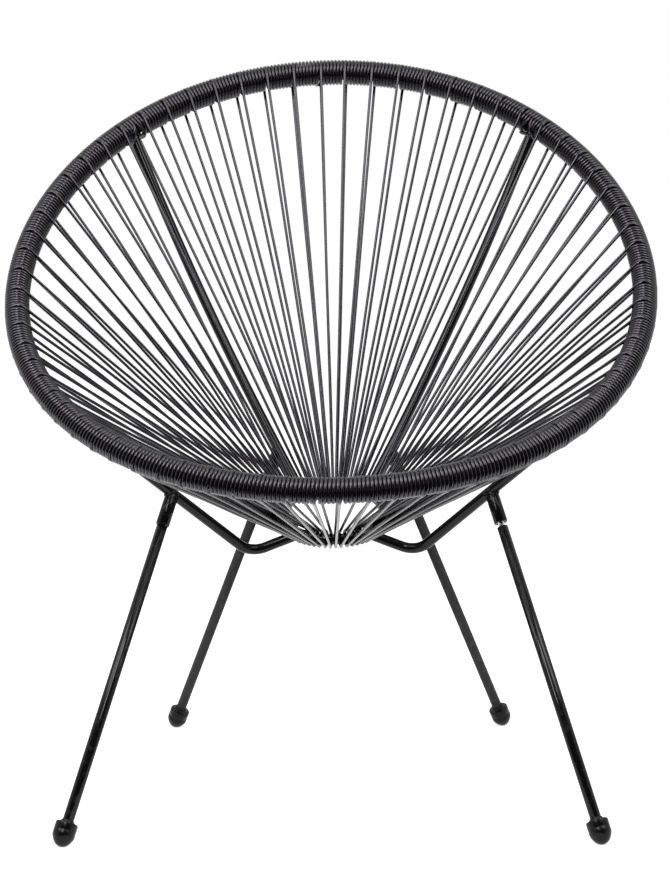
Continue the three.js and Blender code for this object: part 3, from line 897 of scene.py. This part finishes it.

# %% [markdown]
# ## Finishes
# Every finish here is black or nearly so, and black is told apart by its shine. Vinyl cord is smooth and mirrors
# the lamps as long streaks, faintly violet. Powder coat has a pebbled skin and mirrors less. The rear legs, which
# look grey and flat, get a copy of the same coat that is duller and lighter: that lighter grey is painted light,
# not a coat of their own. Rubber is softer, and the one bit of bare metal is the zinc plated thread. Each
# material is the
# same chain: a colour that two effects shift, a roughness that the mottle moves, and a fine bump.


# %% The chain that every finish uses
pale_dust = (0.30, 0.29, 0.28)
bump_height = 0.1 * MM


def finish(name, colour, worn, rough, spread, grains, bump, dusted, rubbed, dusty=pale_dust, **steady):
    """A material whose colour, roughness and skin vary; steady values go straight on the shader's own sockets."""
    material = bpy.data.materials.new(name)
    material.use_nodes = True
    tree = material.node_tree
    shader = tree.nodes["Principled BSDF"]
    for label, value in steady.items():
        shader.inputs[label.replace("_", " ").title().replace("Ior", "IOR")].default_value = value
    effects = []
    settings = ((grain, "Grains per metre", grains), (wear, "Amount", rubbed), (dust, "Amount", dusted))
    for group, label, amount in settings:
        effect = tree.nodes.new("ShaderNodeGroup")
        effect.node_tree = group
        effect.inputs[label].default_value = amount
        effects.append(effect.outputs)
    mottle, wear_mask, dust_mask = effects[0]["Mottle"], effects[1]["Mask"], effects[2]["Mask"]
    tone = mix_colour(tree, mottle, [c * 0.8 for c in colour], [c * 1.25 for c in colour])
    tone = mix_colour(tree, wear_mask, tone, worn)
    tone = mix_colour(tree, dust_mask, tone, dusty)
    tree.links.new(tone, shader.inputs["Base Color"])
    base = math_node(tree, "MULTIPLY_ADD", mottle, spread, rough - spread / 2)
    rougher = math_node(tree, "MULTIPLY_ADD", dust_mask, 0.4, base)
    tree.links.new(rougher, shader.inputs["Roughness"])
    skin = tree.nodes.new("ShaderNodeBump")
    skin.inputs["Strength"].default_value, skin.inputs["Distance"].default_value = bump, bump_height
    tree.links.new(effects[0]["Height"], skin.inputs["Height"])
    tree.links.new(skin.outputs[0], shader.inputs["Normal"])
    return material


def mix_colour(tree, factor, first, second):
    node = tree.nodes.new("ShaderNodeMix")
    node.data_type = "RGBA"
    tree.links.new(factor, node.inputs["Factor"])
    for socket, value in ((node.inputs[6], first), (node.inputs[7], second)):
        if isinstance(value, (list, tuple)):
            socket.default_value = (*value, 1)
        else:
            tree.links.new(value, socket)
    return node.outputs[2]


def dress(pieces, material):
    for piece in pieces:
        piece.data.materials.clear()
        piece.data.materials.append(material)

# %% [markdown]
# These numbers came from laying the picture beside the photograph.

# %% Vinyl cord, powder coat, rubber and bare thread
vinyl = finish(
    "vinyl_cord", (0.003, 0.0022, 0.0033), worn=(0.03, 0.03, 0.032), rough=0.19, spread=0.06,
    grains=400, bump=0.03, dusted=0.02, rubbed=0.1, specular_ior_level=0.5, specular_tint=(0.94, 0.91, 1.0, 1.0),
)
powder = finish(
    "powder_coat", (0.003, 0.003, 0.0032), worn=(0.05, 0.05, 0.05), rough=0.12, spread=0.04,
    grains=1500, bump=0.12, dusted=0.01, rubbed=0.2, specular_ior_level=0.2,
)
# A copy of the black powder coat for the rear legs, lighter and duller: its lighter grey is painted light.
rear_coat_painted_grey = finish(
    "powder_coat_dull", (0.023, 0.023, 0.024), worn=(0.08, 0.08, 0.08), rough=0.7, spread=0.06,
    grains=1500, bump=0.4, dusted=0.02, rubbed=0.3, specular_ior_level=0.3,
)
rubber = finish(
    "foot_rubber", (0.003, 0.003, 0.0033), worn=(0.03, 0.03, 0.03), rough=0.24, spread=0.1,
    grains=2200, bump=0.3, dusted=0.02, rubbed=0.3, specular_ior_level=0.16,
)
zinc = finish(
    "zinc_thread", (0.62, 0.61, 0.58), worn=(0.8, 0.8, 0.78), rough=0.28, spread=0.2,
    grains=3000, bump=0.3, dusted=0.1, rubbed=0.3, dusty=(0.4, 0.38, 0.35), metallic=1.0,
)
dress(cords, vinyl)
steel_words = ("strut", "arm", "ring", "hoop", "socket", "weld")
dress([piece for piece in bpy.data.objects if piece.name.split("_")[0] in steel_words], powder)
# The rear legs take the lighter copy of the coat, whose grey is painted light.
for name in leg_names:
    dress([bpy.data.objects["leg_" + name]], rear_coat_painted_grey if name.startswith("rear") else powder)
    dress([bpy.data.objects["stud_" + name]], zinc)
    dress([bpy.data.objects["foot_" + name]], rubber)
print("finishes:", [m.name for m in (vinyl, powder, rear_coat_painted_grey, rubber, zinc)])

# %% [markdown]
# ## The studio
# The photograph is a plain catalogue picture: white all round, soft light, and hardly any shadow. A white world
# does most of it. Rays from the camera and from glossy surfaces see it at full white, while as a lamp it is held
# back, so that the softboxes can give the cord its long streaks. The floor is white as well and carries only
# the faint shadows under the feet: to a lamp it is plain paper, and to the camera paper that glows a little.


# %% World and floor
room_light = 0.3


def seen_directly(tree):
    """One where the camera looks at a surface itself, in a reflection or through glass, and zero otherwise."""
    path = tree.nodes.new("ShaderNodeLightPath").outputs
    either = math_node(tree, "MAXIMUM", path["Is Camera Ray"], path["Is Glossy Ray"])
    return math_node(tree, "MAXIMUM", either, path["Is Transmission Ray"])


world = bpy.data.worlds.new("white_studio")
bpy.context.scene.world = world
world.use_nodes = True
sky = world.node_tree
backdrop = sky.nodes["Background"]
backdrop.inputs["Color"].default_value = (1, 1, 1, 1)
strength = math_node(sky, "MULTIPLY_ADD", seen_directly(sky), 1 - room_light, room_light)
sky.links.new(strength, backdrop.inputs["Strength"])


def studio_sheet(name, corners, faces, material_name):
    """A flat or bent sheet of the studio, and the empty node tree of its material."""
    mesh = bpy.data.meshes.new(name)
    mesh.from_pydata(corners, [], faces)
    sheet = bpy.data.objects.new(name, mesh)
    bpy.context.scene.collection.objects.link(sheet)
    material = bpy.data.materials.new(material_name)
    material.use_nodes = True
    material.node_tree.nodes.clear()
    mesh.materials.append(material)
    return sheet, material.node_tree


def two_faced(tree, factor, usual, chosen):
    """The surface is the usual shader, and the chosen one as far as the factor says."""
    choice, out = tree.nodes.new("ShaderNodeMixShader"), tree.nodes.new("ShaderNodeOutputMaterial")
    for socket, value in zip(choice.inputs, (factor, usual.outputs[0], chosen.outputs[0])):
        tree.links.new(value, socket)
    tree.links.new(choice.outputs[0], out.inputs["Surface"])


def diffuse(tree, level):
    node = tree.nodes.new("ShaderNodeBsdfDiffuse")
    node.inputs["Color"].default_value = (level, level, level, 1)
    return node


floor_half = 9.0
floor_paper, floor_faint, floor_glow = 0.86, 0.75, 0.78
floor_corners = [(-floor_half, -floor_half, 0), (floor_half, -floor_half, 0)]
floor_corners += [(floor_half, floor_half, 0), (-floor_half, floor_half, 0)]
floor, tree = studio_sheet("studio_floor", floor_corners, [(0, 1, 2, 3)], "white_paper")
glow, lit = tree.nodes.new("ShaderNodeEmission"), tree.nodes.new("ShaderNodeAddShader")
glow.inputs["Strength"].default_value = floor_glow
tree.links.new(diffuse(tree, floor_faint).outputs[0], lit.inputs[0])
tree.links.new(glow.outputs[0], lit.inputs[1])
two_faced(tree, seen_directly(tree), diffuse(tree, floor_paper), lit)
print("floor", 2 * floor_half, "m wide")

# %% [markdown]
# Gloss black needs something black to mirror, or its front goes milky. A bent black sheet, from a step in front
# of the chair and up behind the camera, paints that dark into the reflections and stands for the dark half of the
# studio. Only mirrored rays meet it, so it is a painted reflection that throws no shadow, and the white floor and
# the white room stay what every camera sees.

# %% Painted dark reflection in front of the chair
# A bent black sheet that only mirrored rays meet: a painted dark reflection, not a real sheet of felt.
painted_dark_half, painted_dark_near, painted_dark_far, painted_dark_lift, painted_dark_top = 3.6, -0.45, -3.2, 0.004, 3.7
painted_dark_level = 0.004
painted_dark_profile = ((painted_dark_near, painted_dark_lift), (painted_dark_far, painted_dark_lift), (painted_dark_far, painted_dark_top))
painted_dark_corners = [(side * painted_dark_half, y, z) for y, z in painted_dark_profile for side in (-1, 1)]
dark_side, tree = studio_sheet("dark_side", painted_dark_corners, [(0, 1, 3, 2), (2, 3, 5, 4)], "black_felt")
# Mirrored rays see the painted black; every other ray passes straight through the sheet.
mirrored = tree.nodes.new("ShaderNodeLightPath").outputs["Is Glossy Ray"]
two_faced(tree, mirrored, tree.nodes.new("ShaderNodeBsdfTransparent"), diffuse(tree, painted_dark_level))
print("painted dark reflection reaches", painted_dark_top, "m high")

# %% [markdown]
# Four softboxes are all aimed at the seat. A tall narrow one in front, left of the camera, draws the bright
# dashes on the turns at the front and the top. A wide weak one overhead lights the seat. The two at the sides
# stand high and forward, where the slanting strands of the other side mirror them.

# %% Softboxes
seat_middle = Vector((0, 0, 0.45))


def softbox(name, place, width, height, power):
    lamp = bpy.data.lights.new(name, "AREA")
    lamp.shape, lamp.size, lamp.size_y, lamp.energy = "RECTANGLE", width, height, power
    holder = bpy.data.objects.new(name, lamp)
    holder.location = place
    holder.rotation_euler = (seat_middle - Vector(place)).to_track_quat("-Z", "Y").to_euler()
    bpy.context.scene.collection.objects.link(holder)


softbox("softbox_front", (-0.4, -1.35, 1.6), width=0.4, height=1.1, power=20)
softbox("softbox_above", (0.0, -0.2, 2.4), width=1.6, height=1.2, power=9)
softbox("softbox_left", (-1.45, -0.95, 2.3), width=1.2, height=1.2, power=30)
softbox("softbox_right", (1.45, -0.95, 2.3), width=1.2, height=1.2, power=28)

# %% [markdown]
# ## The camera
# The picture was taken from the front with a long lens, a good two metres away and about 0.7 m up. The camera's
# place came from fitting the outline of the hoop, the four feet and the sockets together, so its numbers are a
# result and not a choice. A camera's own axes are right, up and back, which make the columns of its matrix.

# %% Camera
sensor, image_width = 36.0, 670
lens_in_pixels = 2039.155
camera_place = Vector((50.0, -2298.7, 672.1)) * MM
camera_right = Vector((0.99976, 0.01907, -0.01089)).normalized()
camera_up = Vector((0.00842, 0.12529, 0.99208))
camera_back = camera_right.cross(camera_up).normalized()
camera_up = camera_back.cross(camera_right)
lens = bpy.data.cameras.new("photo_camera")
lens.sensor_fit, lens.sensor_width = "HORIZONTAL", sensor
lens.lens = lens_in_pixels / image_width * sensor
lens.clip_end = 60
camera = bpy.data.objects.new("photo_camera", lens)
axes = Matrix((camera_right, camera_up, camera_back)).transposed()
camera.matrix_world = Matrix.Translation(camera_place) @ axes.to_4x4()
bpy.context.scene.collection.objects.link(camera)
bpy.context.scene.camera = camera
bpy.context.scene.view_settings.view_transform = "Standard"
print("lens", round(lens.lens, 1), "mm")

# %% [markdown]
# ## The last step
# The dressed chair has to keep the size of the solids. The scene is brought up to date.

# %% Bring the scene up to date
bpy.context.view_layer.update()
